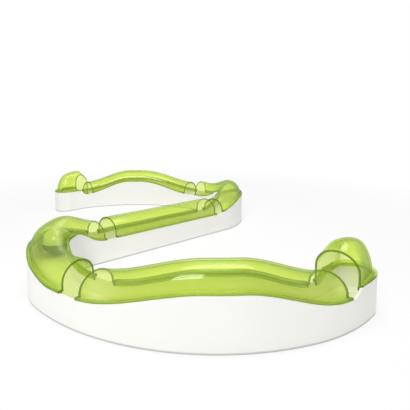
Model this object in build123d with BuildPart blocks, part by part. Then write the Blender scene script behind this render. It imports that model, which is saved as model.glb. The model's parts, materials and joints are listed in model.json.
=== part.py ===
"""A modular ball track toy for cats: seven white trough sections linked into an S, each under a clear cover.

The track is the same when it is turned half round about the middle of its straight run, which is the origin.
A place on the track is a distance along the centreline from the origin, towards the left bend and the front run.
All sizes are millimetres.
"""

import os
from math import cos, degrees, radians, sin

from build123d import *

# Plan of the centreline, from the middle of the track towards the front end
MID_LENGTH = 196.0
BEND_LEAD_IN = 18.0
CORNER_RADIUS = 68.0
CORNER_ANGLE = 100.0
BEND_LEAD_OUT = 59.0
ARC_RADIUS = 262.0
ARC_LENGTH = 260.0
TAIL_LENGTH = 42.0
TAIL_RADIUS = 160.0
END_LEAD = 34.0

# Section of the trough
TRACK_WIDTH = 46.0
WALL = 2.4
FLOOR_THICKNESS = 2.4
FLOOR_CHAMFER = 4.0
TROUGH_DEPTH = 23.0
SKIRT_CLEARANCE = 0.6

# Wave of the walls
VALLEY_RIM = 31.2
BEND_WAVE_RISE = 19.0
ARC_WAVE_RISE = 21.8
BEND_RISE_START = 1.0
BEND_RISE_LENGTH = 60.0
BEND_FALL_LENGTH = 70.0
BEND_FALL_END = 31.0
ARC_RISE_START = 6.0
ARC_RISE_LENGTH = 120.0
ARC_FALL_LENGTH = 95.0
ARC_FALL_END = 9.0
END_RIM_RISE = 8.6
END_RAMP_LENGTH = 10.0

# Covers
COVER_WALL = 1.9
COVER_GAP = 0.4
ARCH_HALF_WIDTH = 19.0
FLANGE_THICKNESS = 2.2
LIP_DEPTH = 3.0
LIP_WALL = 1.6
LIP_CLEARANCE = 0.4
MID_SPRING = 6.0
BEND_SPRING = 2.6
BEND_MOUTH_LIFT = 4.6
MOUTH_LIFT_LENGTH = 80.0
ARC_SPRING = 2.6
COVER_SETBACK = 8.0
END_COVER_SETBACK = 5.0
HOOD_MOUTH_HALF_WIDTH = 20.0
HOOD_MOUTH_SPRING = 50.0
HOOD_MOUTH_TOP = 70.4
HOOD_PEAK = 80.0
HOOD_PEAK_SHARE = 0.42
DOME_HALF_WIDTH = 16.8
DOME_SPRING = 43.8
DOME_TOP = 76.4
CROWN_SHARE = 0.7

# Links under the ends of the bases
LINK_SIDE = 10.0
TONGUE_WIDTH = 13.0
TONGUE_THICKNESS = 2.2
TONGUE_REACH = 11.0
TONGUE_ROOT = 9.0
LINK_CLEARANCE = 0.4
LINK_PEG_RADIUS = 2.2
LINK_HOLE_CLEARANCE = 0.3
LINK_PEG_PLACE = 6.0
LINK_BITE = 1.2

# Rubber feet
FOOT_RADIUS = 4.0
FOOT_THICKNESS = 2.0
FOOT_INSET = 20.0
FOOT_CLEARANCE = 0.3
BOSS_SKIRT_BITE = 0.4
BOSS_FLOOR_BITE = 1.2
END_FOOT_INSET = 2.0
TIP_FOOT_PLACE = 13.0

# Ball
BALL_SIDE_PLAY = 3.6
BALL_WALL = 1.6
BALL_FLOOR_GAP = 0.3
BALL_PLACE_IN_BEND = 72.0

# Spacing of the cross sections that a curved piece is drawn through
STATION_STEP = 6.0
END_STATION_STEP = 2.0

# Values worked out from the sizes above
HALF_WIDTH = TRACK_WIDTH / 2
CHANNEL_HALF = HALF_WIDTH - WALL
VALLEY_FLOOR = VALLEY_RIM - TROUGH_DEPTH
CORNER_LENGTH = CORNER_RADIUS * radians(CORNER_ANGLE)
MID_END = MID_LENGTH / 2
CORNER_START = MID_END + BEND_LEAD_IN
CORNER_END = CORNER_START + CORNER_LENGTH
BEND_END = CORNER_END + BEND_LEAD_OUT
ARC_END = BEND_END + ARC_LENGTH
TAIL_START = ARC_END - TAIL_LENGTH
TRACK_END = ARC_END + END_LEAD
HOOD_MOUTH = ARC_END + END_COVER_SETBACK
LIP_OUTER = CHANNEL_HALF - LIP_CLEARANCE
LIP_INNER = LIP_OUTER - LIP_WALL
BALL_RADIUS = CHANNEL_HALF - BALL_SIDE_PLAY
BALL_PLACE = MID_END + BALL_PLACE_IN_BEND
FOOT_SIDE = CHANNEL_HALF - FOOT_CLEARANCE - FOOT_RADIUS
BOSS_RADIUS = FOOT_RADIUS + FOOT_CLEARANCE + BOSS_SKIRT_BITE
UP = (0, 0, 1)


def turned(start, heading, radius, angle):
    """End point of a left turn of the given angle (degrees) that starts at a point with a heading (degrees)."""
    centre_x = start[0] - radius * sin(radians(heading))
    centre_y = start[1] + radius * cos(radians(heading))
    end_heading = heading + angle
    return (centre_x + radius * sin(radians(end_heading)), centre_y - radius * cos(radians(end_heading)))


def centreline(place):
    """Point (x, y) and heading in degrees of the centreline at a place on the front half of the track."""
    if place <= CORNER_START:
        return (-place, 0.0), 180.0
    if place <= CORNER_END:
        angle = degrees((place - CORNER_START) / CORNER_RADIUS)
        return turned((-CORNER_START, 0.0), 180.0, CORNER_RADIUS, angle), 180.0 + angle
    corner_exit = turned((-CORNER_START, 0.0), 180.0, CORNER_RADIUS, CORNER_ANGLE)
    heading = 180.0 + CORNER_ANGLE
    angle = degrees((min(place, TAIL_START) - CORNER_END) / ARC_RADIUS)
    arc_exit = turned(corner_exit, heading, ARC_RADIUS, angle)
    if place <= TAIL_START:
        return arc_exit, heading + angle
    tail_angle = degrees((place - TAIL_START) / TAIL_RADIUS)
    return turned(arc_exit, heading + angle, TAIL_RADIUS, tail_angle), heading + angle + tail_angle


def cross_plane(place):
    """Upright plane across the track: x to the left of the way forward, y up, z forward."""
    (x, y), heading = centreline(place)
    turn = radians(heading)
    return Plane(origin=(x, y, 0), x_dir=(-sin(turn), cos(turn), 0), z_dir=(cos(turn), sin(turn), 0))


def smooth_step(share):
    """Smooth climb from 0 to 1 as the share goes from 0 to 1."""
    share = min(max(share, 0.0), 1.0)
    return share * share * (3 - 2 * share)


def wave(place):
    """Height of the wave above the valleys: one hump with a level top in the bend and one in the long run."""
    if place <= BEND_END:
        climb = smooth_step((place - MID_END - BEND_RISE_START) / BEND_RISE_LENGTH)
        fall = smooth_step((BEND_END - BEND_FALL_END - place) / BEND_FALL_LENGTH)
        return BEND_WAVE_RISE * climb * fall
    climb = smooth_step((place - BEND_END - ARC_RISE_START) / ARC_RISE_LENGTH)
    fall = smooth_step((ARC_END - ARC_FALL_END - place) / ARC_FALL_LENGTH)
    return ARC_WAVE_RISE * climb * fall


def floor_height(place):
    """Height of the surface that the ball rolls on."""
    return VALLEY_FLOOR + wave(place)


def rim_height(place):
    """Height of the top edge of the walls, which climbs again in the closed end."""
    return VALLEY_RIM + wave(place) + END_RIM_RISE * smooth_step((place - ARC_END) / END_RAMP_LENGTH)


def stations(start, end, step):
    """Evenly spaced places from start to end, both included, no further apart than the step."""
    count = int((end - start) / step) + 1
    return [start + (end - start) * index / count for index in range(count + 1)]


def trough_profile(rim, floor):
    """Closed outline of the trough's section, an H with a low bar, as corner points."""
    under = floor - FLOOR_THICKNESS
    right = [
        (0, under),
        (CHANNEL_HALF, under),
        (CHANNEL_HALF, SKIRT_CLEARANCE),
        (HALF_WIDTH, SKIRT_CLEARANCE),
        (HALF_WIDTH, rim),
        (CHANNEL_HALF, rim),
        (CHANNEL_HALF, floor + FLOOR_CHAMFER),
        (CHANNEL_HALF - FLOOR_CHAMFER, floor),
        (0, floor),
    ]
    return right


def trough_section(place):
    """Sketch of the trough's whole section on the cross plane of a place."""
    right = trough_profile(rim_height(place), floor_height(place))[1:-1]
    left = [(-x, z) for x, z in reversed(right)]
    with BuildSketch(cross_plane(place)) as section:
        with BuildLine():
            Polyline(*right, *left, close=True)
        make_face()
    return section.sketch


def crown_corner(half_width, spring, rise, crown):
    """Point where the wide arc of an arch's side runs into the arc of its crown, and the radius of the side."""
    side = (half_width**2 + (rise - crown) ** 2 - crown**2) / (2 * (half_width - crown))
    across = crown * (side - half_width) / (side - crown)
    up = crown * (rise - crown) / (side - crown)
    return (across, spring + rise - crown + up), side


def add_arch(half_width, spring, rise, crown):
    """Adds to the open line an arch from the right springing to the left one: one arc if it is round, else three."""
    if rise == half_width:
        ThreePointArc((half_width, spring), (0, spring + rise), (-half_width, spring))
        return
    (x, z), side = crown_corner(half_width, spring, rise, crown)
    RadiusArc((half_width, spring), (x, z), -side)
    ThreePointArc((x, z), (0, spring + rise), (-x, z))
    RadiusArc((-x, z), (-half_width, spring), -side)


def cover_section(place, half_width, spring, rise):
    """Sketch of a cover's section: an arch on legs, with outer flanges and inner lips."""
    rim = rim_height(place)
    seat = rim + COVER_GAP
    ledge = seat + FLANGE_THICKNESS
    inner = half_width - COVER_WALL
    crown = CROWN_SHARE * half_width
    with BuildSketch(cross_plane(place)) as section:
        with BuildLine():
            Polyline((HALF_WIDTH, seat), (HALF_WIDTH, ledge), (half_width, ledge), (half_width, spring))
            add_arch(half_width, spring, rise, crown)
            Polyline((-half_width, spring), (-half_width, ledge), (-HALF_WIDTH, ledge), (-HALF_WIDTH, seat))
            Polyline((-HALF_WIDTH, seat), (-LIP_OUTER, seat), (-LIP_OUTER, rim - LIP_DEPTH))
            Polyline((-LIP_OUTER, rim - LIP_DEPTH), (-LIP_INNER, rim - LIP_DEPTH), (-LIP_INNER, seat))
            Polyline((-LIP_INNER, seat), (-inner, seat), (-inner, spring))
            add_arch(inner, spring, rise - COVER_WALL, crown - COVER_WALL)
            Polyline((inner, spring), (inner, seat), (LIP_INNER, seat))
            Polyline((LIP_INNER, seat), (LIP_INNER, rim - LIP_DEPTH), (LIP_OUTER, rim - LIP_DEPTH))
            Polyline((LIP_OUTER, rim - LIP_DEPTH), (LIP_OUTER, seat), (HALF_WIDTH, seat))
        make_face()
    return section.sketch


def spring_height(place):
    """Height of an arch's springing above its seat, which climbs towards the front mouth of the bend."""
    if place <= MID_END:
        return MID_SPRING
    if place <= BEND_END:
        return BEND_SPRING + BEND_MOUTH_LIFT * smooth_step(1 - (BEND_END - place) / MOUTH_LIFT_LENGTH)
    return ARC_SPRING


def arch_section(place):
    """Section of a cover with a round arch that follows the rim of the walls."""
    spring = rim_height(place) + COVER_GAP + spring_height(place)
    return cover_section(place, ARCH_HALF_WIDTH, spring, ARCH_HALF_WIDTH)


def hood_stations():
    """Places of the sections that the wall and the hood of a closed end share."""
    return stations(HOOD_MOUTH, TRACK_END, END_STATION_STEP)


def hood_section(place):
    """Section of an end hood, which is highest a little behind its mouth and narrows to the dome."""
    share = (place - HOOD_MOUTH) / (TRACK_END - HOOD_MOUTH)
    climb = (HOOD_PEAK - HOOD_MOUTH_TOP) * smooth_step(share / HOOD_PEAK_SHARE)
    fall = (HOOD_PEAK - DOME_TOP) * smooth_step((share - HOOD_PEAK_SHARE) / (1 - HOOD_PEAK_SHARE))
    taper = smooth_step(share)
    half_width = HOOD_MOUTH_HALF_WIDTH + (DOME_HALF_WIDTH - HOOD_MOUTH_HALF_WIDTH) * taper
    spring = HOOD_MOUTH_SPRING + (DOME_SPRING - HOOD_MOUTH_SPRING) * taper
    return cover_section(place, half_width, spring, HOOD_MOUTH_TOP + climb - fall - spring)


def link_heights():
    """Lowest and highest level of the linking tongues, just under the floor of the valleys."""
    top = VALLEY_FLOOR - FLOOR_THICKNESS - LINK_CLEARANCE
    return top - TONGUE_THICKNESS, top


def add_link(place, outward):
    """Adds a tongue and a peg to the open base at one end; outward is 1 where the end faces forward, else -1."""
    low, high = link_heights()
    under = VALLEY_FLOOR - FLOOR_THICKNESS
    (x, y), heading = centreline(place)
    facing = heading if outward > 0 else heading + 180
    end = Plane(origin=(x, y, 0), x_dir=(cos(radians(facing)), sin(radians(facing)), 0), z_dir=UP)
    with BuildSketch(end.offset(low)) as tongue:
        with Locations(((TONGUE_REACH - TONGUE_ROOT) / 2, -LINK_SIDE)):
            Rectangle(TONGUE_REACH + TONGUE_ROOT, TONGUE_WIDTH)
        with Locations((LINK_PEG_PLACE, -LINK_SIDE)):
            Circle(LINK_PEG_RADIUS + LINK_HOLE_CLEARANCE, mode=Mode.SUBTRACT)
    extrude(tongue.sketch, amount=high - low)
    with BuildSketch(end.offset(high)) as root:
        with Locations((-(TONGUE_ROOT + LINK_CLEARANCE) / 2, -LINK_SIDE)):
            Rectangle(TONGUE_ROOT - LINK_CLEARANCE, TONGUE_WIDTH)
    extrude(root.sketch, amount=under + LINK_BITE - high)
    with BuildSketch(end.offset(low)) as peg:
        with Locations((-LINK_PEG_PLACE, LINK_SIDE)):
            Circle(LINK_PEG_RADIUS)
    extrude(peg.sketch, amount=under + LINK_BITE - low)


def foot_places(start, end):
    """Place along the track and side of each foot of an open section."""
    return [(place, side * FOOT_SIDE) for place in (start + FOOT_INSET, end - FOOT_INSET) for side in (-1, 1)]


def end_foot_places():
    """Places of the three feet of a closed end: one at each side and one under the tip."""
    sides = [(TRACK_END - END_FOOT_INSET, side * FOOT_SIDE) for side in (-1, 1)]
    return sides + [(TRACK_END + TIP_FOOT_PLACE, 0.0)]


def foot_point(place, side):
    """Point on the ground under a foot; places past the end axis run straight on."""
    on_line = min(place, TRACK_END)
    (x, y), heading = centreline(on_line)
    turn = radians(heading)
    past = place - on_line
    return (x - side * sin(turn) + past * cos(turn), y + side * cos(turn) + past * sin(turn))


def add_bosses(places):
    """Adds to the open base a boss over each foot, up into the floor."""
    for place, side in places:
        lowest_floor = min(floor_height(place - BOSS_RADIUS), floor_height(place + BOSS_RADIUS))
        with BuildSketch(Plane.XY.offset(FOOT_THICKNESS)) as boss:
            with Locations(foot_point(place, side)):
                Circle(BOSS_RADIUS)
        extrude(boss.sketch, amount=lowest_floor - FLOOR_THICKNESS + BOSS_FLOOR_BITE - FOOT_THICKNESS)


def end_axis():
    """Upright axis that the closed end is turned about, pointing down so that a turn runs round the tip."""
    (x, y), _ = centreline(TRACK_END)
    return Axis((x, y, 0), (0, 0, -1))


def make_open_base(start, end):
    """Trough section between two places, open at both ends, with its links and bosses."""
    with BuildPart() as base:
        loft([trough_section(place) for place in stations(start, end, STATION_STEP)])
        add_link(start, -1)
        add_link(end, 1)
        add_bosses(foot_places(start, end))
    return base.part


def make_end_base():
    """Trough section that closes the track with a round end."""
    with BuildPart() as base:
        loft([trough_section(place) for place in [ARC_END] + hood_stations()], ruled=True)
        with BuildSketch(cross_plane(TRACK_END)):
            with BuildLine():
                Polyline(*trough_profile(rim_height(TRACK_END), floor_height(TRACK_END)), close=True)
            make_face()
        revolve(axis=end_axis(), revolution_arc=180)
        add_link(ARC_END, -1)
        add_bosses(end_foot_places())
    return base.part


def make_feet(places):
    """Rubber feet of one base, as separate discs."""
    with BuildPart() as feet:
        with BuildSketch():
            for place, side in places:
                with Locations(foot_point(place, side)):
                    Circle(FOOT_RADIUS)
        extrude(amount=FOOT_THICKNESS)
    return feet.part


def make_cover(start, end):
    """Arched cover between two places, over the rim of the walls."""
    with BuildPart() as cover:
        loft([arch_section(place) for place in stations(start, end, STATION_STEP)])
    return cover.part


def make_end_cover():
    """Tall hood that runs from its mouth to a dome over the closed end."""
    inner = DOME_HALF_WIDTH - COVER_WALL
    rim = rim_height(TRACK_END)
    seat = rim + COVER_GAP
    ledge = seat + FLANGE_THICKNESS
    rise = DOME_TOP - DOME_SPRING
    crown = CROWN_SHARE * DOME_HALF_WIDTH
    corner, side = crown_corner(DOME_HALF_WIDTH, DOME_SPRING, rise, crown)
    inner_corner, inner_side = crown_corner(inner, DOME_SPRING, rise - COVER_WALL, crown - COVER_WALL)
    with BuildPart() as cover:
        loft([hood_section(place) for place in hood_stations()], ruled=True)
        with BuildSketch(cross_plane(TRACK_END)):
            with BuildLine():
                Polyline((LIP_OUTER, seat), (HALF_WIDTH, seat), (HALF_WIDTH, ledge), (DOME_HALF_WIDTH, ledge))
                Line((DOME_HALF_WIDTH, ledge), (DOME_HALF_WIDTH, DOME_SPRING))
                RadiusArc((DOME_HALF_WIDTH, DOME_SPRING), corner, -side)
                RadiusArc(corner, (0, DOME_TOP), -crown)
                Line((0, DOME_TOP), (0, DOME_TOP - COVER_WALL))
                RadiusArc((0, DOME_TOP - COVER_WALL), inner_corner, crown - COVER_WALL)
                RadiusArc(inner_corner, (inner, DOME_SPRING), inner_side)
                Polyline((inner, DOME_SPRING), (inner, seat), (LIP_INNER, seat), (LIP_INNER, rim - LIP_DEPTH))
                Polyline((LIP_INNER, rim - LIP_DEPTH), (LIP_OUTER, rim - LIP_DEPTH), (LIP_OUTER, seat))
            make_face()
        revolve(axis=end_axis(), revolution_arc=180)
    return cover.part


def make_ball_half(upper):
    """One half shell of the ball, which rests on the level top of the left bend."""
    (x, y), _ = centreline(BALL_PLACE)
    centre = (x, y, floor_height(BALL_PLACE) + BALL_FLOOR_GAP + BALL_RADIUS)
    inner = BALL_RADIUS - BALL_WALL
    way = 1 if upper else -1
    with BuildPart() as half:
        with BuildSketch(Plane(origin=centre, x_dir=(1, 0, 0), z_dir=(0, -1, 0))):
            with BuildLine():
                Line((inner, 0), (BALL_RADIUS, 0))
                RadiusArc((BALL_RADIUS, 0), (0, way * BALL_RADIUS), -way * BALL_RADIUS)
                Line((0, way * BALL_RADIUS), (0, way * inner))
                RadiusArc((0, way * inner), (inner, 0), way * inner)
            make_face()
        revolve(axis=Axis(centre, UP), revolution_arc=360)
    return half.part


def half_turned(piece):
    """The same piece on the rear half of the track."""
    with BuildPart() as copy:
        add(piece, rotation=(0, 0, 180))
    return copy.part


def save(name, piece):
    """Labels a piece and writes its file."""
    piece.label = name
    export_step(piece, f"parts/{name}.step")


os.makedirs("parts", exist_ok=True)

# Straight middle section, drawn from its rear end through the origin to its front end
mid_cover_start = COVER_SETBACK - MID_END
with BuildPart() as mid_base:
    extrude(trough_section(-MID_END), amount=MID_LENGTH)
    add_link(MID_END, 1)
    add_bosses(foot_places(MID_END, MID_END)[2:])
    add_link(-MID_END, -1)
    add_bosses(foot_places(-MID_END, -MID_END)[:2])
save("mid_base", mid_base.part)

with BuildPart() as mid_cover:
    extrude(arch_section(mid_cover_start), amount=-2 * mid_cover_start)
save("mid_cover", mid_cover.part)
save("mid_feet", make_feet(foot_places(-MID_END, MID_END)))

# Sections of the front half, each with its twin on the rear half
pairs = [
    ("left_bend_base", "right_bend_base", make_open_base(MID_END, BEND_END)),
    ("left_bend_cover", "right_bend_cover", make_cover(MID_END + COVER_SETBACK, BEND_END - COVER_SETBACK)),
    ("left_bend_feet", "right_bend_feet", make_feet(foot_places(MID_END, BEND_END))),
    ("front_arc_base", "rear_arc_base", make_open_base(BEND_END, ARC_END)),
    ("front_arc_cover", "rear_arc_cover", make_cover(BEND_END + COVER_SETBACK, ARC_END - END_COVER_SETBACK)),
    ("front_arc_feet", "rear_arc_feet", make_feet(foot_places(BEND_END, ARC_END))),
    ("front_end_base", "rear_end_base", make_end_base()),
    ("front_end_cover", "rear_end_cover", make_end_cover()),
    ("front_end_feet", "rear_end_feet", make_feet(end_foot_places())),
]
for front_name, rear_name, piece in pairs:
    rear_piece = half_turned(piece)
    save(front_name, piece)
    save(rear_name, rear_piece)

save("ball_upper_half", make_ball_half(upper=True))
save("ball_lower_half", make_ball_half(upper=False))
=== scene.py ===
"""Looks of a ball track toy for cats: wavy white troughs under clear lime covers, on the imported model."""

import json
import logging
import math
from dataclasses import dataclass, field
from enum import Enum
from typing import Any

import bmesh
import bpy
import numpy as np
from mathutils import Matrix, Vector

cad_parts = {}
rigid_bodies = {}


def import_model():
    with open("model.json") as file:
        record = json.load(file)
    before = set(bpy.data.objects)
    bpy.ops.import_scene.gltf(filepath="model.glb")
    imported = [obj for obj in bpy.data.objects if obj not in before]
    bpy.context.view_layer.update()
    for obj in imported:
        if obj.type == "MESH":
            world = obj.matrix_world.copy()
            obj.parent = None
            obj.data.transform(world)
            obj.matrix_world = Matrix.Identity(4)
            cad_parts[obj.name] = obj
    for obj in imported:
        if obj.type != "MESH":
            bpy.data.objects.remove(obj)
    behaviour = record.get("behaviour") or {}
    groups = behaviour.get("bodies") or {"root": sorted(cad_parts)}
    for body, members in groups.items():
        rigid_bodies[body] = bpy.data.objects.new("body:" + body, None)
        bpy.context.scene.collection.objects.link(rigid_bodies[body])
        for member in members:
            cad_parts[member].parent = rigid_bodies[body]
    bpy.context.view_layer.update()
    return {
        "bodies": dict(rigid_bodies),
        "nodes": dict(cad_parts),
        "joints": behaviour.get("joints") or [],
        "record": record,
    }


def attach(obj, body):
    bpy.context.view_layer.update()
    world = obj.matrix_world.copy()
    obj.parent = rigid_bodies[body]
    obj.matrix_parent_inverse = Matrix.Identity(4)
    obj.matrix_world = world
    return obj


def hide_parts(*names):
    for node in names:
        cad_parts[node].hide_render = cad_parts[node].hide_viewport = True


LOG = logging.getLogger("ball_track")
MM = 0.001

Setting = dict[str, Any]
Colour = tuple[float, float, float]
Place = tuple[float, float, float]
WHITE = (1.0, 1.0, 1.0, 1.0)


class Half(Enum):
    """Half of the track that a section belongs to: as drawn, or turned half round about the upright axis."""

    FRONT = 1.0
    REAR = -1.0


class Slot(Enum):
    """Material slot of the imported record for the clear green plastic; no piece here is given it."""

    GREEN = "green_clear_plastic"


class Kind(Enum):
    """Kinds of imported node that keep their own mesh, by the ending of their names."""

    BASE = "_base"
    FEET = "_feet"
    UPPER_BALL = "_upper_half"
    LOWER_BALL = "_lower_half"


class Number:
    """A number socket in a node tree, so that shader maths reads as plain expressions."""

    def __init__(self, graph: "Graph", socket: bpy.types.NodeSocket) -> None:
        """Wraps one output socket of a node in the graph."""
        self.graph = graph
        self.socket = socket

    def maths(self, operation: str, first: Any, second: Any) -> "Number":
        """Adds one Math node.

        Args:
            operation: Name of the Math operation.
            first: Number or socket for the first input.
            second: Number or socket for the second input.

        Returns:
            The node's result.
        """
        node = self.graph.node("ShaderNodeMath", {"operation": operation}, {0: first, 1: second})
        return Number(self.graph, node.outputs[0])

    def __add__(self, other: Any) -> "Number":
        """Sum with a number or socket."""
        return self.maths("ADD", self, other)

    __radd__ = __add__

    def __sub__(self, other: Any) -> "Number":
        """Difference to a number or socket."""
        return self.maths("SUBTRACT", self, other)

    def __rsub__(self, other: Any) -> "Number":
        """Difference from a number."""
        return self.maths("SUBTRACT", other, self)

    def __mul__(self, other: Any) -> "Number":
        """Product with a number or socket."""
        return self.maths("MULTIPLY", self, other)

    __rmul__ = __mul__

    def __pow__(self, other: Any) -> "Number":
        """Power with a number or socket."""
        return self.maths("POWER", self, other)

    def lowest(self, other: Any) -> "Number":
        """The lower of the value and a number or socket."""
        return self.maths("MINIMUM", self, other)

    def clamped(self) -> "Number":
        """The value held between 0 and 1."""
        return self.maths("MAXIMUM", self, 0.0).lowest(1.0)


class Graph:
    """Node tree of one material or of the world, built from plain calls."""

    def __init__(self, holder: bpy.types.ID) -> None:
        """Empties the node tree of a material or a world."""
        self.holder = holder
        self.holder.use_nodes = True
        self.tree = holder.node_tree
        self.tree.nodes.clear()

    def node(self, kind: str, settings: Setting, inputs: dict[Any, Any]) -> bpy.types.Node:
        """Adds a node.

        Args:
            kind: The node's type name.
            settings: Values of the node's own properties.
            inputs: Values or links of its sockets, by name or number.

        Returns:
            The new node.
        """
        made = self.tree.nodes.new(kind)
        for key, value in settings.items():
            setattr(made, key, value)
        for key, value in inputs.items():
            socket = made.inputs[key]
            if isinstance(value, Number):
                self.tree.links.new(value.socket, socket)
            elif isinstance(value, bpy.types.NodeSocket):
                self.tree.links.new(value, socket)
            else:
                socket.default_value = value
        return made

    def number(self, node: bpy.types.Node, output: Any) -> Number:
        """One output of a node as a number."""
        return Number(self, node.outputs[output])

    def shown(self) -> Number:
        """1 for rays that show a surface, straight, in gloss or through clear plastic, and 0 for light."""
        path = self.node("ShaderNodeLightPath", {}, {})
        seen = self.number(path, "Is Camera Ray") + self.number(path, "Is Glossy Ray")
        return (seen + self.number(path, "Is Transmission Ray")).clamped()

    def place(self) -> bpy.types.NodeSocket:
        """Place on the piece, in metres in the shared frame."""
        return self.node("ShaderNodeTexCoord", {}, {}).outputs["Object"]

    def height(self) -> Number:
        """Height of a point over the ground, in metres."""
        made = self.node("ShaderNodeSeparateXYZ", {}, {"Vector": self.place()})
        return self.number(made, "Z")

    def noise(self, scale: float, detail: float) -> Number:
        """Cloudy noise over the piece.

        Args:
            scale: Features per metre.
            detail: Number of finer layers.

        Returns:
            Noise between 0 and 1.
        """
        made = self.node("ShaderNodeTexNoise", {}, {"Vector": self.place(), "Scale": scale, "Detail": detail})
        return self.number(made, "Fac")

    def between(self, share: Number, low: Any, high: Any) -> bpy.types.NodeSocket:
        """Colour between two colours.

        Args:
            share: Share of the second colour.
            low: First colour, or a socket with one.
            high: Second colour, or a socket with one.

        Returns:
            The mixed colour.
        """
        ends = [(*end, 1.0) if isinstance(end, tuple) else end for end in (low, high)]
        made = self.node("ShaderNodeMix", {"data_type": "RGBA"}, {0: share, 6: ends[0], 7: ends[1]})
        return made.outputs[2]

    def bump(self, height: Number, distance: float, strength: float) -> bpy.types.NodeSocket:
        """Normal bent by a height.

        Args:
            height: Height between 0 and 1.
            distance: Height of 1 in metres.
            strength: Share of the effect.

        Returns:
            The bent normal.
        """
        made = self.node("ShaderNodeBump", {}, {"Height": height, "Distance": distance, "Strength": strength})
        return made.outputs["Normal"]

    def finish(self, shader: bpy.types.NodeSocket) -> bpy.types.Material:
        """Joins a shader to a material's output.

        Args:
            shader: The closing shader.

        Returns:
            The finished material.
        """
        self.node("ShaderNodeOutputMaterial", {}, {"Surface": shader})
        return self.holder


@dataclass(frozen=True)
class WhiteShellFinish:
    """Smooth white moulded plastic: a soft gloss, faint flow clouds and a painted contact shadow, a grey line
    along its bottom.
    """

    light: Colour = (0.945, 0.94, 0.91)
    cloud: Colour = (0.905, 0.90, 0.862)
    cloud_scale: float = 18.0
    cloud_detail: float = 3.0
    # Painted contact shadow: the grey that darkens the walls' lowest few millimetres, where the ground shades
    # them.
    line: Colour = (0.28, 0.275, 0.26)
    contact_shadow_top: float = 3.0 * MM
    roughness: float = 0.26
    roughness_spread: float = 0.12
    skin_scale: float = 2600.0
    skin_detail: float = 2.0
    skin_height: float = 0.04 * MM
    skin_strength: float = 0.25
    coat: float = 0.15
    coat_roughness: float = 0.2

    def material(self) -> bpy.types.Material:
        """Builds the material: cloudy colour and roughness, a fine skin and a painted contact shadow as a
        grey line at the ground.
        """
        graph = Graph(bpy.data.materials.new("white_moulded_plastic"))
        cloud = graph.noise(self.cloud_scale, self.cloud_detail)
        skin = graph.noise(self.skin_scale, self.skin_detail)
        # Painted contact shadow: share of the grey, full at the ground and none 3 mm up.
        low = (1.0 - graph.height() * (1.0 / self.contact_shadow_top)).clamped()
        shader = graph.node(
            "ShaderNodeBsdfPrincipled",
            {},
            {
                "Base Color": graph.between(low, graph.between(cloud, self.light, self.cloud), self.line),
                "Roughness": cloud * self.roughness_spread + self.roughness,
                "Normal": graph.bump(skin, self.skin_height, self.skin_strength),
                "Coat Weight": self.coat,
                "Coat Roughness": self.coat_roughness,
            },
        )
        return graph.finish(shader.outputs[0])


@dataclass(frozen=True)
class ClearLimeFinish:
    """Clear lime plastic: each skin tints the light, and edges seen along the sheet turn olive."""

    tint: Colour = (0.935, 0.985, 0.60)
    shade_tint: Colour = (0.91, 0.965, 0.62)
    thick_tint: Colour = (0.54, 0.69, 0.13)
    thick_power: float = 3.2
    body: Colour = (0.62, 0.80, 0.16)
    deep: Colour = (0.13, 0.24, 0.02)
    facing_blend: float = 0.5
    haze: float = 0.03
    haze_spread: float = 0.04
    edge_gain: float = 0.82
    edge_power: float = 3.5
    skin_roughness: float = 0.16
    skin_spread: float = 0.08
    skin_specular: float = 0.02
    flow_scale: float = 30.0
    flow_detail: float = 2.0
    wave_scale: float = 55.0
    wave_detail: float = 1.0
    wave_height: float = 0.6 * MM
    wave_strength: float = 0.12
    refraction: float = 1.49
    gloss_gain: float = 0.75
    gloss_limit: float = 0.1
    gloss_roughness: float = 0.1

    def material(self) -> bpy.types.Material:
        """Builds the material: tinted clear plastic, a lime skin along the edges and a gloss over both."""
        graph = Graph(bpy.data.materials.new("clear_lime_plastic"))
        flow = graph.noise(self.flow_scale, self.flow_detail)
        ripple = graph.noise(self.wave_scale, self.wave_detail)
        wave = graph.bump(ripple, self.wave_height, self.wave_strength)
        facing = graph.number(graph.node("ShaderNodeLayerWeight", {}, {"Blend": self.facing_blend}), "Facing")
        rim = graph.number(graph.node("ShaderNodeAttribute", {"attribute_name": "rim"}, {}), "Fac")
        edge = (facing**self.edge_power + rim).clamped()
        skin = graph.node(
            "ShaderNodeBsdfPrincipled",
            {},
            {
                "Base Color": graph.between(edge, self.body, self.deep),
                "Roughness": flow * self.skin_spread + self.skin_roughness,
                "Specular IOR Level": self.skin_specular,
                "Normal": wave,
            },
        )
        thin = graph.node("ShaderNodeBsdfTransparent", {}, {"Color": (*self.tint, 1.0)})
        thick = graph.node("ShaderNodeBsdfTransparent", {}, {"Color": (*self.thick_tint, 1.0)})
        along = facing**self.thick_power
        seen = graph.node("ShaderNodeMixShader", {}, {0: along, 1: thin.outputs[0], 2: thick.outputs[0]})
        shade = graph.node("ShaderNodeBsdfTransparent", {}, {"Color": (*self.shade_tint, 1.0)})
        falling = graph.number(graph.node("ShaderNodeLightPath", {}, {}), "Is Shadow Ray")
        clear = graph.node("ShaderNodeMixShader", {}, {0: falling, 1: seen.outputs[0], 2: shade.outputs[0]})
        share = (edge * self.edge_gain + (flow * self.haze_spread + self.haze)).clamped()
        mixed = graph.node("ShaderNodeMixShader", {}, {0: share, 1: clear.outputs[0], 2: skin.outputs[0]})
        polished = {"Roughness": self.gloss_roughness, "Normal": wave}
        polish = graph.node("ShaderNodeBsdfAnisotropic", {}, polished)
        fresnel = graph.node("ShaderNodeFresnel", {}, {"IOR": self.refraction, "Normal": wave})
        gloss = (graph.number(fresnel, 0) * self.gloss_gain).lowest(self.gloss_limit) * (1.0 - edge)
        coated = graph.node("ShaderNodeMixShader", {}, {0: gloss, 1: mixed.outputs[0], 2: polish.outputs[0]})
        return graph.finish(coated.outputs[0])


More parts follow.
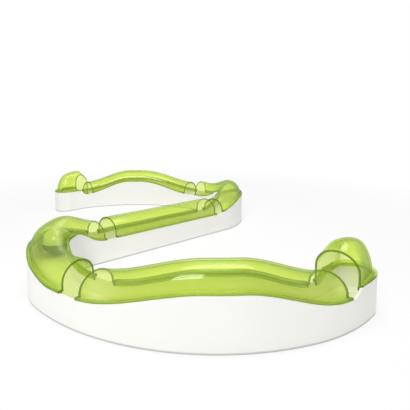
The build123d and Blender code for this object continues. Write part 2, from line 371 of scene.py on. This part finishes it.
@dataclass(frozen=True)
class PaleRubberFinish:
    """Matt pale rubber with a fine grain."""

    light: Colour = (0.72, 0.72, 0.69)
    dark: Colour = (0.58, 0.58, 0.55)
    grain_scale: float = 900.0
    grain_detail: float = 3.0
    grain_height: float = 0.2 * MM
    grain_strength: float = 0.5
    roughness: float = 0.75
    roughness_spread: float = 0.15

    def material(self) -> bpy.types.Material:
        """Builds the material: mottled grey with a grainy skin."""
        graph = Graph(bpy.data.materials.new("pale_rubber"))
        grain = graph.noise(self.grain_scale, self.grain_detail)
        shader = graph.node(
            "ShaderNodeBsdfPrincipled",
            {},
            {
                "Base Color": graph.between(grain, self.light, self.dark),
                "Roughness": grain * self.roughness_spread + self.roughness,
                "Normal": graph.bump(grain, self.grain_height, self.grain_strength),
            },
        )
        return graph.finish(shader.outputs[0])


@dataclass(frozen=True)
class BallFinish:
    """Glossy shell of one half of the ball."""

    name: str
    light: Colour
    dark: Colour
    pearl_scale: float = 120.0
    pearl_detail: float = 2.0
    roughness: float = 0.12
    roughness_spread: float = 0.1
    coat: float = 0.6
    coat_roughness: float = 0.04

    def material(self) -> bpy.types.Material:
        """Builds the material: pearly colour with a polished coat."""
        graph = Graph(bpy.data.materials.new(self.name))
        pearl = graph.noise(self.pearl_scale, self.pearl_detail)
        shader = graph.node(
            "ShaderNodeBsdfPrincipled",
            {},
            {
                "Base Color": graph.between(pearl, self.light, self.dark),
                "Roughness": pearl * self.roughness_spread + self.roughness,
                "Coat Weight": self.coat,
                "Coat Roughness": self.coat_roughness,
            },
        )
        return graph.finish(shader.outputs[0])


# Lit and shaded copies of one ball shell. The lower half is painted shade: dark green for its shaded
# underside under the lime cover. The upper half is the ball's pale grey and also serves as a painted glint on
# its top.
PALE_BALL = BallFinish("pale_ball_shell", (0.78, 0.80, 0.82), (0.62, 0.65, 0.68))
SHADED_BALL_HALF = BallFinish("ball_shell_painted_shade", (0.035, 0.13, 0.02), (0.022, 0.095, 0.014))


@dataclass(frozen=True)
class FloorFinish:
    """Plain white studio floor that keeps a faint shadow near the object."""

    colour: Colour = (0.96, 0.96, 0.955)
    lift: float = 0.76
    near: float = 0.36
    far: float = 0.75

    def material(self) -> bpy.types.Material:
        """Builds the material: matt paint, lifted to white in the picture, all white far from the object."""
        graph = Graph(bpy.data.materials.new("studio_floor"))
        paint = graph.node("ShaderNodeBsdfDiffuse", {}, {"Color": (*self.colour, 1.0)})
        glow = graph.node("ShaderNodeEmission", {}, {"Color": WHITE, "Strength": 1.0})
        reach = graph.node("ShaderNodeVectorMath", {"operation": "LENGTH"}, {0: graph.place()})
        away = ((graph.number(reach, "Value") - self.near) * (1.0 / (self.far - self.near))).clamped()
        share = graph.shown() * (away * (1.0 - self.lift) + self.lift)
        mixed = graph.node("ShaderNodeMixShader", {}, {0: share, 1: paint.outputs[0], 2: glow.outputs[0]})
        return graph.finish(mixed.outputs[0])


@dataclass(frozen=True)
class TrackPlan:
    """Centreline and wave of the front half of the track, in metres; a place is measured from the middle."""

    mid_end: float = 98.0 * MM
    lead_in: float = 18.0 * MM
    corner_radius: float = 68.0 * MM
    corner_angle: float = math.radians(100.0)
    lead_out: float = 59.0 * MM
    arc_radius: float = 262.0 * MM
    arc_length: float = 260.0 * MM
    tail_length: float = 42.0 * MM
    tail_radius: float = 160.0 * MM
    end_lead: float = 34.0 * MM
    valley_rim: float = 31.2 * MM
    bend_wave: float = 19.0 * MM
    arc_wave: float = 21.8 * MM
    bend_rise: tuple[float, float] = (1.0 * MM, 60.0 * MM)
    bend_fall: tuple[float, float] = (31.0 * MM, 70.0 * MM)
    arc_rise: tuple[float, float] = (6.0 * MM, 120.0 * MM)
    arc_fall: tuple[float, float] = (9.0 * MM, 95.0 * MM)
    end_rise: float = 8.6 * MM
    end_ramp: float = 10.0 * MM
    hood_setback: float = 5.0 * MM

    @property
    def corner_start(self) -> float:
        """Place where the corner starts."""
        return self.mid_end + self.lead_in

    @property
    def corner_end(self) -> float:
        """Place where the corner ends."""
        return self.corner_start + self.corner_radius * self.corner_angle

    @property
    def bend_end(self) -> float:
        """Place where the bend meets the long run."""
        return self.corner_end + self.lead_out

    @property
    def arc_end(self) -> float:
        """Place where the long run meets the closed end."""
        return self.bend_end + self.arc_length

    @property
    def track_end(self) -> float:
        """Place of the upright axis of the round end."""
        return self.arc_end + self.end_lead

    @property
    def hood_mouth(self) -> float:
        """Place of the end hood's mouth."""
        return self.arc_end + self.hood_setback

    @staticmethod
    def smooth_step(share: np.ndarray) -> np.ndarray:
        """Smooth climb from 0 to 1: s squared times (3 - 2 s) of the clipped share s."""
        held = np.clip(share, 0.0, 1.0)
        return held * held * (3.0 - 2.0 * held)

    def turns(self) -> list[tuple[float, float, float]]:
        """First place, last place and radius of each left turn, in order."""
        tail_start = self.arc_end - self.tail_length
        return [
            (self.corner_start, self.corner_end, self.corner_radius),
            (self.corner_end, tail_start, self.arc_radius),
            (tail_start, self.track_end, self.tail_radius),
        ]

    def heading(self, places: np.ndarray) -> np.ndarray:
        """Way forward at each place, in radians: straight, then left turns of constant radius.

        Args:
            places: Distances along the centreline.

        Returns:
            Angle from the X axis at each place.
        """
        turned = [np.clip(places - first, 0.0, last - first) / radius for first, last, radius in self.turns()]
        return math.pi + sum(turned)

    def centre(self, places: np.ndarray) -> np.ndarray:
        """Points of the centreline: each straight or round stretch added up in closed form.

        A turn of radius r from heading a to heading b moves by r (sin b - sin a) in x
        and by r (cos a - cos b) in y.

        Args:
            places: Distances along the centreline, negative on the rear half of the straight run.

        Returns:
            x and y of each place, in the last axis.
        """
        x = -np.minimum(places, self.corner_start)
        y = np.zeros_like(x)
        start = math.pi
        for first, last, radius in self.turns():
            now = start + np.clip(places - first, 0.0, last - first) / radius
            x = x + radius * (np.sin(now) - math.sin(start))
            y = y + radius * (math.cos(start) - np.cos(now))
            start += (last - first) / radius
        return np.stack([x, y], axis=-1)

    def rim(self, places: np.ndarray) -> np.ndarray:
        """Height of the walls: valley, a smooth hump in the bend, one in the long run and a climb at the end.

        Args:
            places: Distances along the centreline.

        Returns:
            Height of the rim at each place.
        """
        step = self.smooth_step
        bend_up = step((places - self.mid_end - self.bend_rise[0]) / self.bend_rise[1])
        bend_down = step((self.bend_end - self.bend_fall[0] - places) / self.bend_fall[1])
        arc_up = step((places - self.bend_end - self.arc_rise[0]) / self.arc_rise[1])
        arc_down = step((self.arc_end - self.arc_fall[0] - places) / self.arc_fall[1])
        bend_hump = self.bend_wave * bend_up * bend_down
        hump = np.where(places <= self.bend_end, bend_hump, self.arc_wave * arc_up * arc_down)
        end = step((places - self.arc_end) / self.end_ramp)
        return self.valley_rim + hump + self.end_rise * end


class MeshPiece:
    """A new piece of the scene, put together from grids of points."""

    merge_reach = 0.001 * MM
    thin_reach = 0.0001 * MM

    def __init__(self, name: str) -> None:
        """Starts an empty piece of the given name."""
        self.name = name
        self.points: list[np.ndarray] = []
        self.quads: list[np.ndarray] = []
        self.marks: list[np.ndarray] = []
        self.count = 0

    def add_grid(self, grid: np.ndarray, mark: np.ndarray, wrap: bool) -> np.ndarray:
        """Adds a surface given as rows of points.

        Args:
            grid: Points, rows by columns by 3.
            mark: Rim mark of each point, rows by columns.
            wrap: Whether the last column joins the first.

        Returns:
            Numbers of the points, rows by columns.
        """
        rows, columns = grid.shape[:2]
        numbers = self.count + np.arange(rows * columns).reshape(rows, columns)
        right = np.roll(numbers, -1, axis=1) if wrap else numbers[:, 1:]
        left = numbers if wrap else numbers[:, :-1]
        quads = np.stack([left[:-1], right[:-1], right[1:], left[1:]], axis=-1)
        self.points.append(grid.reshape(-1, 3))
        self.marks.append(mark.reshape(-1))
        self.quads.append(quads.reshape(-1, 4))
        self.count += rows * columns
        return numbers

    def add_cap(self, numbers: np.ndarray) -> None:
        """Closes a sheet's end between its outer line and its inner line with a strip of faces.

        Args:
            numbers: Point numbers round the closed profile: the outer line, then the inner line backwards.
        """
        half = len(numbers) // 2
        outer = numbers[:half]
        inner = numbers[half:][::-1]
        self.quads.append(np.stack([outer[:-1], outer[1:], inner[1:], inner[:-1]], axis=-1))

    def make(self, half: Half, sharp_angle: float) -> bpy.types.Object:
        """Makes the object: doubles merged, faces turned outwards, smooth apart from its sharp edges.

        Args:
            half: Half of the track that the piece is on; the rear half is turned half round.
            sharp_angle: Angle in radians past which an edge stays sharp.

        Returns:
            The finished object at the origin.
        """
        points = np.concatenate(self.points) * np.array([half.value, half.value, 1.0])
        mesh = bpy.data.meshes.new(self.name)
        mesh.from_pydata(points.tolist(), [], np.concatenate(self.quads).tolist())
        attribute = mesh.attributes.new("rim", "FLOAT", "POINT")
        attribute.data.foreach_set("value", np.concatenate(self.marks).astype(np.float32))
        work = bmesh.new()
        work.from_mesh(mesh)
        bmesh.ops.remove_doubles(work, verts=work.verts, dist=self.merge_reach)
        bmesh.ops.dissolve_degenerate(work, edges=work.edges, dist=self.thin_reach)
        bmesh.ops.recalc_face_normals(work, faces=work.faces)
        work.to_mesh(mesh)
        work.free()
        mesh.polygons.foreach_set("use_smooth", np.ones(len(mesh.polygons), dtype=bool))
        mesh.set_sharp_from_angle(angle=sharp_angle)
        made = bpy.data.objects.new(self.name, mesh)
        bpy.context.scene.collection.objects.link(made)
        return made


@dataclass
class CoverProfile:
    """Section of a cover: an arch on legs with flanges and inner lips, as an outer and an inner line."""

    wall: float = 1.9 * MM
    gap: float = 0.4 * MM
    flange_half: float = 23.0 * MM
    flange: float = 2.2 * MM
    lip_depth: float = 3.0 * MM
    lip_outer: float = 20.2 * MM
    lip_inner: float = 18.6 * MM
    arch_steps: int = 30

    def lines(self, rim: np.ndarray, arch: "ArchShape") -> tuple[np.ndarray, np.ndarray]:
        """Right half of the section at each place, as points from the foot to the crown.

        The foot, flange and leg are straight lines, and the arch follows its own arcs.

        Args:
            rim: Height of the wall under the cover at each place.
            arch: Shape of the arch at each place.

        Returns:
            The outer line and the inner line, each places by points by (side, height).
        """
        seat = rim + self.gap
        ledge = seat + self.flange
        foot = rim - self.lip_depth
        same = np.ones_like(rim)
        within = arch.shrunk(self.wall)
        outer = self.joined(
            [self.lip_outer * same, self.flange_half * same, self.flange_half * same, arch.half_width],
            [seat, seat, ledge, ledge],
        )
        inner = self.joined(
            [self.lip_outer * same, self.lip_inner * same, self.lip_inner * same, within.half_width],
            [foot, foot, seat, seat],
        )
        steps = self.arch_steps
        return (
            np.concatenate([outer, arch.quarter(steps)], axis=1),
            np.concatenate([inner, within.quarter(steps)], axis=1),
        )

    @staticmethod
    def joined(sides: list[np.ndarray], heights: list[np.ndarray]) -> np.ndarray:
        """Corner points with a side and a height at each place."""
        return np.stack([np.stack(sides, axis=1), np.stack(heights, axis=1)], axis=-1)


@dataclass(frozen=True)
class ArchShape:
    """Half width, spring height, rise and crown radius of a cover's arch at each place."""

    half_width: np.ndarray
    spring: np.ndarray
    rise: np.ndarray
    crown: np.ndarray

    def shrunk(self, wall: float) -> "ArchShape":
        """The same arch one wall further in."""
        return ArchShape(self.half_width - wall, self.spring, self.rise - wall, self.crown - wall)

    def quarter(self, steps: int) -> np.ndarray:
        """Half of the arch from the spring to the crown: a wide side arc that runs into the crown's arc.

        With half width a, rise b and crown radius c, the side's radius is
        (a^2 + (b - c)^2 - c^2) / (2 (a - c)).
        The arcs meet where their normal points along (side - a, b - c).

        Args:
            steps: Number of points.

        Returns:
            Places by points by (side, height).
        """
        turn = np.linspace(0.0, math.pi / 2.0, steps)[None, :]
        a = self.half_width[:, None]
        b = self.rise[:, None]
        c = self.crown[:, None]
        side = (a**2 + (b - c) ** 2 - c**2) / (2.0 * (a - c))
        in_side = turn < np.arctan2(b - c, side - a)
        across = np.where(in_side, a - side + side * np.cos(turn), c * np.cos(turn))
        level = np.where(in_side, side * np.sin(turn), b - c + c * np.sin(turn))
        return np.stack([across, self.spring[:, None] + level], axis=-1)


@dataclass
class Cover:
    """A clear cover over one section of the track."""

    name: str
    half: Half
    start: float
    end: float
    spring_rise: float
    plan: TrackPlan
    start_skew: float = 0.0
    end_skew: float = 0.0
    mouth_lift: float = 0.0
    lift_length: float = 80.0 * MM
    skew_length: float = 26.0 * MM
    profile: CoverProfile = field(default_factory=CoverProfile)
    half_width: float = 19.0 * MM
    crown_share: float = 0.7
    step: float = 2.5 * MM
    edge_band: float = 0.9 * MM
    flange_mark: float = 0.65
    sharp: float = math.radians(32.0)

    def places(self) -> np.ndarray:
        """Places of the sections along the cover, with a narrow band at each cut end."""
        count = int((self.end - self.start) / self.step) + 2
        inside = np.linspace(self.start + self.edge_band, self.end - self.edge_band, count)
        return np.concatenate([[self.start], inside, [self.end]])

    def arch(self, places: np.ndarray) -> ArchShape:
        """Round arch whose spring keeps a fixed rise over the seat and climbs towards a lifted mouth.

        Args:
            places: Places along the centreline.

        Returns:
            The arch at each place.
        """
        climb = self.plan.smooth_step(1.0 - (self.plan.bend_end - places) / self.lift_length)
        spring = self.plan.rim(places) + self.profile.gap + self.spring_rise + self.mouth_lift * climb
        half_width = np.full_like(places, self.half_width)
        return ArchShape(half_width, spring, half_width, self.crown_share * half_width)

    def loop(self, places: np.ndarray) -> tuple[np.ndarray, np.ndarray]:
        """Closed section at each place: the outer line from right to left foot, then the inner line back.

        Args:
            places: Places along the centreline.

        Returns:
            Side and height of each point of the loop, places by points by 2, and the rim mark of each point.
        """
        outer, inner = self.profile.lines(self.plan.rim(places), self.arch(places))
        mirror = np.array([-1.0, 1.0])
        outer_all = np.concatenate([outer, (outer * mirror)[:, -2::-1]], axis=1)
        inner_all = np.concatenate([inner, (inner * mirror)[:, -2::-1]], axis=1)
        loop = np.concatenate([outer_all, inner_all[:, ::-1]], axis=1)
        mark = np.zeros(loop.shape[:2])
        last = outer_all.shape[1] - 1
        mark[:, [1, 2, last - 1, last - 2]] = self.flange_mark
        mark[0, :] = 1.0
        mark[-1, :] = 1.0
        return loop, mark

    def slanted(self, places: np.ndarray, side: np.ndarray) -> np.ndarray:
        """Place of each point under slanted cut ends: place + side times a slant that fades from each end.

        Args:
            places: Places of the sections.
            side: Side of each point, places by points.

        Returns:
            Place of each point.
        """
        from_start = 1.0 - self.plan.smooth_step((places - self.start) / self.skew_length)
        from_end = 1.0 - self.plan.smooth_step((self.end - places) / self.skew_length)
        slant = self.start_skew * from_start + self.end_skew * from_end
        return places[:, None] + slant[:, None] * side

    def swept(self, places: np.ndarray, loop: np.ndarray) -> np.ndarray:
        """Carries the sections along the centreline: point = centre + side times the left normal.

        A point that the slant moves along the track climbs or falls with the rim of the walls.

        Args:
            places: Places along the centreline.
            loop: Side and height of each point.

        Returns:
            Points in the shared frame, places by points by 3.
        """
        side = loop[..., 0]
        moved = self.slanted(places, side)
        heading = self.plan.heading(moved)
        normal = np.stack([-np.sin(heading), np.cos(heading)], axis=-1)
        flat = self.plan.centre(moved) + side[..., None] * normal
        climb = self.plan.rim(moved) - self.plan.rim(places)[:, None]
        level = loop[..., 1] + climb * self.follow(places, loop[..., 1])
        return np.concatenate([flat, level[..., None]], axis=-1)

    def follow(self, places: np.ndarray, heights: np.ndarray) -> np.ndarray:
        """Share of the rim's climb that each point takes on: here the whole arch follows the rim.

        Args:
            places: Places of the sections.
            heights: Height of each point, places by points.

        Returns:
            Share of each point, places by points.
        """
        return np.ones_like(heights)

    def mesh(self) -> MeshPiece:
        """Puts the swept sheet and its two cut ends together."""
        piece = MeshPiece(self.name)
        places = self.places()
        loop, mark = self.loop(places)
        numbers = piece.add_grid(self.swept(places, loop), mark, wrap=True)
        piece.add_cap(numbers[0])
        piece.add_cap(numbers[-1])
        return piece

    def build(self, material: bpy.types.Material) -> bpy.types.Object:
        """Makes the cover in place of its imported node.

        Args:
            material: Clear lime finish.

        Returns:
            The cover's object.
        """
        made = self.mesh().make(self.half, self.sharp)
        made.data.materials.append(material)
        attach(made, self.name.replace("_shell", ""))
        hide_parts(self.name.replace("_shell", ""))
        return made


@dataclass
class EndHood(Cover):
    """The tall hood of a closed end: highest a little behind its mouth, narrowing to a dome."""

    half_width: float = 21.0 * MM
    mouth_spring: float = 50.0 * MM
    mouth_top: float = 70.4 * MM
    peak: float = 80.0 * MM
    peak_share: float = 0.26
    dome_half_width: float = 17.8 * MM
    dome_spring: float = 43.8 * MM
    dome_top: float = 75.8 * MM
    step: float = 1.5 * MM
    turns: int = 48

    def arch(self, places: np.ndarray) -> ArchShape:
        """Tall arch: the crown climbs to the peak and falls by a square; spring and width fall all the way.

        Args:
            places: Places along the centreline.

        Returns:
            The arch at each place.
        """
        step = self.plan.smooth_step
        share = (places - self.start) / (self.end - self.start)
        climb = (self.peak - self.mouth_top) * step(share / self.peak_share)
        past_peak = np.clip((share - self.peak_share) / (1.0 - self.peak_share), 0.0, None)
        fall = (self.peak - self.dome_top) * past_peak**2
        taper = step(share)
        half_width = self.half_width + (self.dome_half_width - self.half_width) * taper
        spring = self.mouth_spring + (self.dome_spring - self.mouth_spring) * taper
        rise = self.mouth_top + climb - fall - spring
        return ArchShape(half_width, spring, rise, self.crown_share * half_width)

    def follow(self, places: np.ndarray, heights: np.ndarray) -> np.ndarray:
        """Share of the rim's climb that each point takes on: all at the rim, none from the spring upwards.

        Args:
            places: Places of the sections.
            heights: Height of each point, places by points.

        Returns:
            Share of each point, places by points.
        """
        rim = self.plan.rim(places)[:, None]
        spring = self.arch(places).spring[:, None]
        return np.clip((spring - heights) / (spring - rim), 0.0, 1.0)

    def mesh(self) -> MeshPiece:
        """Joins the swept sheet, its cut mouth and the dome, which is the half section turned half round."""
        piece = MeshPiece(self.name)
        places = self.places()
        loop, mark = self.loop(places)
        mark[-1, :] = mark[-2, :]
        numbers = piece.add_grid(self.swept(places, loop), mark, wrap=True)
        piece.add_cap(numbers[0])
        last = places[-1:]
        outer, inner = self.profile.lines(self.plan.rim(last), self.arch(last))
        for line in (outer[0], inner[0]):
            grid = self.leaned(self.turned(line), line)
            marks = np.zeros(grid.shape[:2])
            if line is outer[0]:
                marks[:, 1:3] = self.flange_mark
            piece.add_grid(grid, marks, wrap=False)
        foot = self.turned(np.stack([outer[0, 0], inner[0, 0]]))
        piece.add_grid(foot, np.zeros(foot.shape[:2]), wrap=False)
        return piece

    def leaned(self, grid: np.ndarray, line: np.ndarray) -> np.ndarray:
        """Lets the dome fall on as the crown does: by slope times the way past the axis, none at its foot.

        Args:
            grid: Points of the turned dome, turns by points by 3.
            line: Side and height of each point of the turned line.

        Returns:
            The leaned points.
        """
        slope = 2.0 * (self.peak - self.dome_top) / ((1.0 - self.peak_share) * (self.end - self.start))
        way = np.sin(np.linspace(0.0, math.pi, self.turns))
        share = np.clip((line[:, 1] - self.dome_spring) / (self.dome_top - self.dome_spring), 0.0, 1.0)
        leaned = grid.copy()
        leaned[..., 2] -= slope * way[:, None] * (line[:, 0] * share)[None, :]
        return leaned

    def turned(self, line: np.ndarray) -> np.ndarray:
        """Turns a line half round the end's upright axis: x and y = centre + side times the turned normal.

        Args:
            line: Side and height of each point.

        Returns:
            Points, turns by points by 3.
        """
        centre = self.plan.centre(np.array([self.end]))[0]
        start = float(self.plan.heading(np.array([self.end]))[0]) + math.pi / 2.0
        angle = start - np.linspace(0.0, math.pi, self.turns)
        way = np.stack([np.cos(angle), np.sin(angle)], axis=1)
        flat = centre + line[None, :, :1] * way[:, None, :]
        level = np.broadcast_to(line[None, :, 1:], flat.shape[:2] + (1,))
        return np.concatenate([flat, level], axis=-1)


@dataclass(frozen=True)
class Lamp:
    """A soft square lamp that points at the middle of the track: place and side in metres, power in watts."""

    name: str
    place: Place
    side: float
    power: float

    def build(self) -> None:
        """Adds the lamp to the scene."""
        data = bpy.data.lights.new(self.name, "AREA")
        data.size = self.side
        data.energy = self.power
        made = bpy.data.objects.new(self.name, data)
        made.location = self.place
        made.rotation_euler = (-Vector(self.place)).to_track_quat("-Z", "Y").to_euler()
        bpy.context.scene.collection.objects.link(made)


@dataclass
class Studio:
    """Camera, lamps, white surroundings and floor."""

    camera_place: Place = (-0.2792, -0.4756, 0.2065)
    camera_way: float = math.radians(-37.68)
    camera_down: float = math.radians(5.0)
    sensor: float = 36.0
    lens: float = 30.737
    shift: float = -0.1511
    clip_start: float = 10.0 * MM
    lamps: tuple[Lamp, ...] = (
        Lamp("key", (-0.8, -0.6, 0.8), 0.45, 5.4),
        Lamp("fill", (0.9, -1.2, 1.2), 1.8, 0.2),
        Lamp("back", (0.95, 1.25, 0.95), 0.7, 2.0),
        Lamp("top", (0.0, -0.12, 0.9), 0.6, 3.0),
    )
    sky: float = 0.45
    floor_half: float = 6.0
    floor_lines: int = 3

    def build(self) -> None:
        """Makes everything that isn't part of the object."""
        self.camera()
        for lamp in self.lamps:
            lamp.build()
        self.surroundings()
        self.floor()
        bpy.context.scene.view_settings.view_transform = "Standard"

    def camera(self) -> None:
        """Sets the camera at the photograph's angle."""
        data = bpy.data.cameras.new("camera")
        data.sensor_width = self.sensor
        data.lens = self.lens
        data.shift_y = self.shift
        data.clip_start = self.clip_start
        made = bpy.data.objects.new("camera", data)
        made.location = self.camera_place
        made.rotation_euler = (math.pi / 2.0 - self.camera_down, 0.0, self.camera_way)
        bpy.context.scene.collection.objects.link(made)
        bpy.context.scene.camera = made

    def surroundings(self) -> None:
        """White surroundings: white to the camera, in gloss and through clear plastic, softer as light."""
        graph = Graph(bpy.data.worlds.new("studio"))
        strength = graph.shown() * (1.0 - self.sky) + self.sky
        ground = graph.node("ShaderNodeBackground", {}, {"Color": WHITE, "Strength": strength})
        graph.node("ShaderNodeOutputWorld", {}, {"Surface": ground.outputs[0]})
        bpy.context.scene.world = graph.holder

    def floor(self) -> None:
        """Adds the studio floor as one large sheet."""
        side = np.linspace(-self.floor_half, self.floor_half, self.floor_lines)
        across, along = np.meshgrid(side, side)
        grid = np.stack([across, along, np.zeros_like(across)], axis=-1)
        piece = MeshPiece("studio_floor")
        piece.add_grid(grid, np.zeros(grid.shape[:2]), wrap=False)
        made = piece.make(Half.FRONT, math.pi)
        if made.data.polygons[0].normal.z < 0.0:
            made.data.flip_normals()
        made.data.materials.append(FloorFinish().material())


@dataclass
class BallTrack:
    """The whole toy: packed bases, feet and ball with their finishes, and the clear covers."""

    frame: dict[str, Any]
    plan: TrackPlan = field(default_factory=TrackPlan)
    setback: float = 8.0 * MM
    mid_spring: float = 6.0 * MM
    bend_spring: float = 2.6 * MM
    bend_mouth_lift: float = 4.6 * MM
    arc_spring: float = 2.6 * MM
    mid_skew: float = -0.3
    bend_skew: float = 0.05
    run_skew: float = 0.25
    end_skew: float = -0.36
    cut_back: float = 5.0 * MM
    end_cut_back: float = 7.5 * MM
    hood_reach: float = 4.5 * MM

    def dress(self) -> None:
        """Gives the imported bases, feet and ball their finishes and builds the covers."""
        finishes = {
            Kind.BASE: WhiteShellFinish().material(),
            Kind.FEET: PaleRubberFinish().material(),
            Kind.UPPER_BALL: PALE_BALL.material(),
            # The lower half's finish is painted shade, darker than the upper half's.
            Kind.LOWER_BALL: SHADED_BALL_HALF.material(),
        }
        for name, node in self.frame["nodes"].items():
            for kind, material in finishes.items():
                if name.endswith(kind.value):
                    node.data.materials.clear()
                    node.data.materials.append(material)
                    LOG.info("dressed %s", name)
        lime = ClearLimeFinish().material()
        for cover in self.covers():
            cover.build(lime)
            LOG.info("built %s", cover.name)

    def covers(self) -> list[Cover]:
        """All the covers, front and rear."""
        plan = self.plan
        mid_end = plan.mid_end - self.setback
        bend = (plan.mid_end + self.setback, plan.bend_end - self.setback - self.cut_back)
        arc_start = plan.bend_end + self.setback + self.cut_back
        arc = (arc_start, plan.arc_end - plan.hood_setback - self.end_cut_back)
        end = (plan.hood_mouth - self.hood_reach, plan.track_end)
        mid_skew = (self.mid_skew, self.mid_skew)
        bend_skew = (self.mid_skew, self.bend_skew)
        arc_skew = (self.run_skew, self.end_skew)
        made = [Cover("mid_cover_shell", Half.FRONT, -mid_end, mid_end, self.mid_spring, plan, *mid_skew)]
        for half, turn, run in ((Half.FRONT, "left", "front"), (Half.REAR, "right", "rear")):
            bend_cover = Cover(f"{turn}_bend_cover_shell", half, *bend, self.bend_spring, plan, *bend_skew)
            bend_cover.mouth_lift = self.bend_mouth_lift
            made.append(bend_cover)
            made.append(Cover(f"{run}_arc_cover_shell", half, *arc, self.arc_spring, plan, *arc_skew))
            made.append(EndHood(f"{run}_end_cover_shell", half, *end, 0.0, plan, self.end_skew))
        return made


def main() -> None:
    """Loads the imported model, dresses it and sets the studio around it."""
    logging.basicConfig(level=logging.INFO)
    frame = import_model()
    BallTrack(frame).dress()
    Studio().build()


if __name__ == "__main__":
    main()
